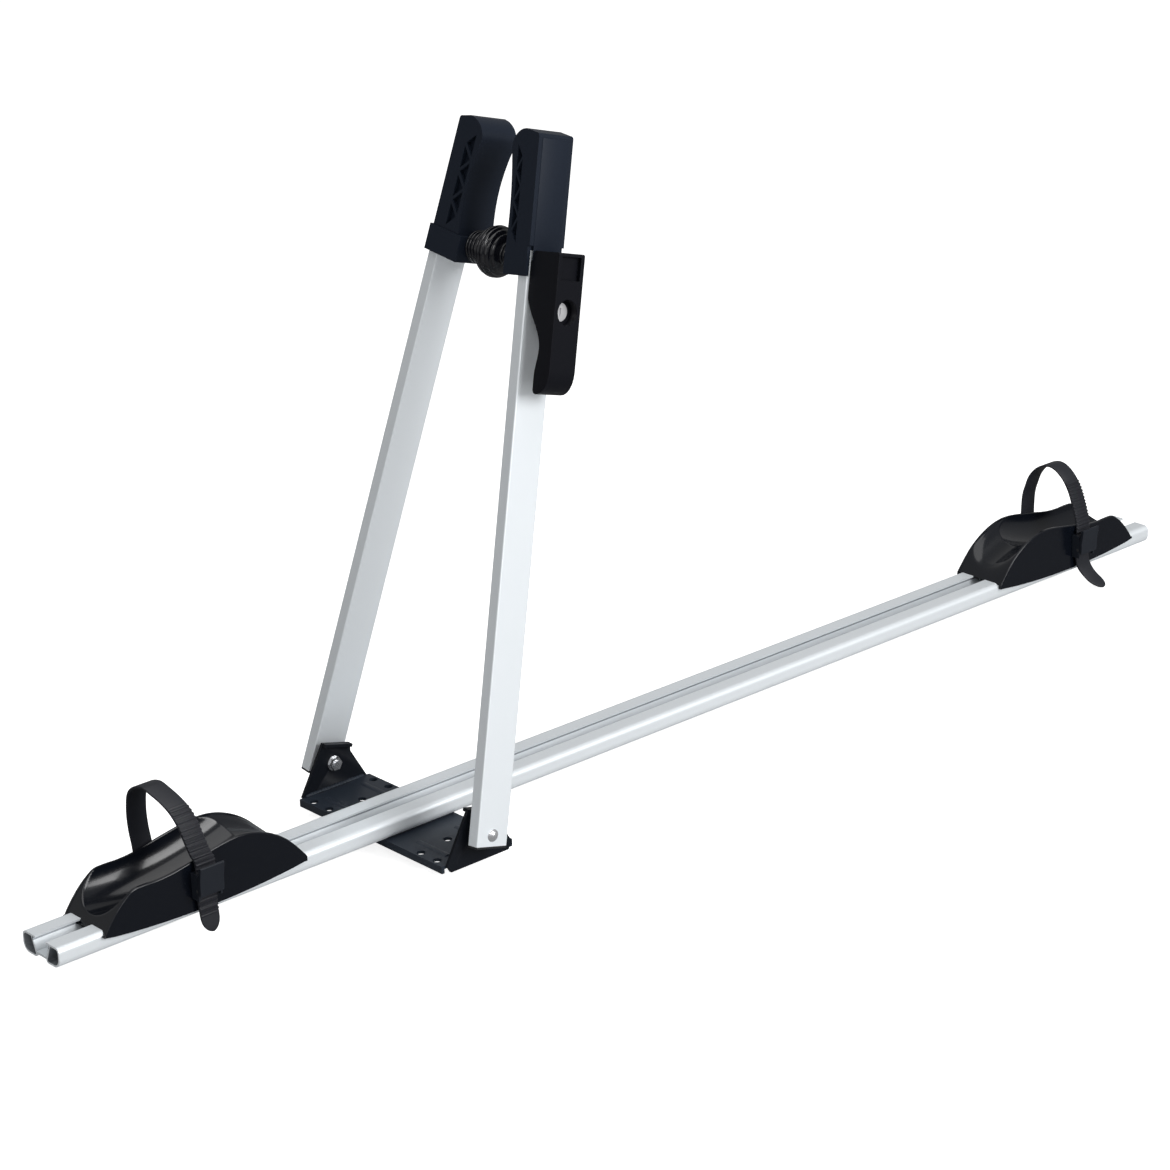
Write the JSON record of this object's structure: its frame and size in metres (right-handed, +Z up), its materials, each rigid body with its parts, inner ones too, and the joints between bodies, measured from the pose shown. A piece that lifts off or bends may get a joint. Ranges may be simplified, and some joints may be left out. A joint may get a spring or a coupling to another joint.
{
  "type": "roof mounted bike carrier",
  "caption": "Upright roof bike carrier: rail with two strapped wheel trays and a folding A-frame whose jaws clamp the bike's down tube by a locking cam lever.",
  "frame": {"origin": "centre of the base plate's underside, where the roof bar sits", "axes": "+X along the rail towards its long end and the rear wheel tray, +Y across the rail towards the far arm, away from the lever, +Z up"},
  "size_m": [1.4, 0.2508, 0.6266],
  "materials": {
    "anodised_aluminium": "satin silver anodised extrusion",
    "black_steel": "semi-gloss black powder coat",
    "zinc_steel": "bright zinc plate",
    "plain_steel": "oiled steel",
    "dark_steel": "blackened steel",
    "black_plastic": "fine textured moulding",
    "tray_plastic": "glossy moulding",
    "strap_plastic": "flexible moulded strap",
    "black_rubber": "moulded rubber",
    "lock_chrome": "plated lock face"
  },
  "bodies": {
    "base": {"rail": "anodised_aluminium", "base_plate": "black_steel", "far_ear": "black_steel", "near_ear": "black_steel", "rail_bolts": "zinc_steel", "rail_washers": "zinc_steel", "rail_nuts": "zinc_steel"},
    "far_arm_body": {"far_arm": "anodised_aluminium", "far_arm_cap": "black_plastic", "far_spacer": "black_plastic", "far_pivot_bolt": "zinc_steel", "far_pivot_nut": "zinc_steel", "far_jaw": "black_plastic", "bellows": "black_rubber", "return_spring": "plain_steel", "rod_nut": "zinc_steel"},
    "near_arm_body": {"near_arm": "anodised_aluminium", "near_arm_cap": "black_plastic", "near_spacer": "black_plastic", "near_pivot_bolt": "zinc_steel", "near_pivot_nut": "zinc_steel", "near_jaw": "black_plastic", "cross_pin": "plain_steel"},
    "rod_body": {"clamp_rod": "zinc_steel"},
    "lever_body": {"cam_lever": "black_plastic"},
    "lock_body": {"lock_cylinder": "lock_chrome", "lock_tongue": "plain_steel"},
    "front_tray_body": {"front_tray": "tray_plastic", "front_tray_bolt": "zinc_steel", "front_slot_nut": "plain_steel", "front_strap": "strap_plastic", "front_buckle": "black_plastic", "front_tab_pin": "dark_steel", "front_strap_rivet": "dark_steel"},
    "front_tab_body": {"front_buckle_tab": "black_plastic"},
    "rear_tray_body": {"rear_tray": "tray_plastic", "rear_tray_bolt": "zinc_steel", "rear_slot_nut": "plain_steel", "rear_strap": "strap_plastic", "rear_buckle": "black_plastic", "rear_tab_pin": "dark_steel", "rear_strap_rivet": "dark_steel"},
    "rear_tab_body": {"rear_buckle_tab": "black_plastic"}
  },
  "joints": [
    {"name": "frame_fold", "type": "hinge", "parent": "base", "child": "far_arm_body", "pos_m": [0, 0, 0.0267], "axis": [0, 1, 0], "range_deg": [0, 72]},
    {"name": "jaw_open", "type": "hinge", "parent": "far_arm_body", "child": "near_arm_body", "pos_m": [0, -0.1015, 0.0267], "axis": [0.965, 0, -0.2622], "range_deg": [0, 3], "deforming": ["bellows", "return_spring"]},
    {"name": "rod_draw", "type": "slide", "parent": "far_arm_body", "child": "rod_body", "axis": [0.0038, -0.9999, 0.014], "range_m": [0, 0.027]},
    {"name": "lever_flip", "type": "hinge", "parent": "near_arm_body", "child": "lever_body", "pos_m": [0.12909, -0.08146, 0.50185], "axis": [-0.965, 0, 0.2622], "range_deg": [0, 100]},
    {"name": "lock_turn", "type": "hinge", "parent": "lever_body", "child": "lock_body", "pos_m": [0.11973, -0.10284, 0.46738], "axis": [0.031, -0.993, 0.1143], "range_deg": [0, 90]},
    {"name": "front_tray_slide", "type": "slide", "parent": "base", "child": "front_tray_body", "axis": [1, 0, 0], "range_m": [-0.04, 0.05]},
    {"name": "rear_tray_slide", "type": "slide", "parent": "base", "child": "rear_tray_body", "axis": [1, 0, 0], "range_m": [-0.25, 0.03]},
    {"name": "front_tab_release", "type": "hinge", "parent": "front_tray_body", "child": "front_tab_body", "pos_m": [-0.2415, -0.03747, 0.032], "axis": [1, 0, 0], "range_deg": [0, 25], "stiffness_Nm_per_rad": 0.05, "springref_deg": -20.05},
    {"name": "rear_tab_release", "type": "hinge", "parent": "rear_tray_body", "child": "rear_tab_body", "pos_m": [0.8955, -0.03747, 0.032], "axis": [1, 0, 0], "range_deg": [0, 25], "stiffness_Nm_per_rad": 0.05, "springref_deg": -20.05}
  ],
  "couplings": [
    {"joint": "rod_draw", "follows": "jaw_open", "m_per_rad": 0.49278}
  ]
}
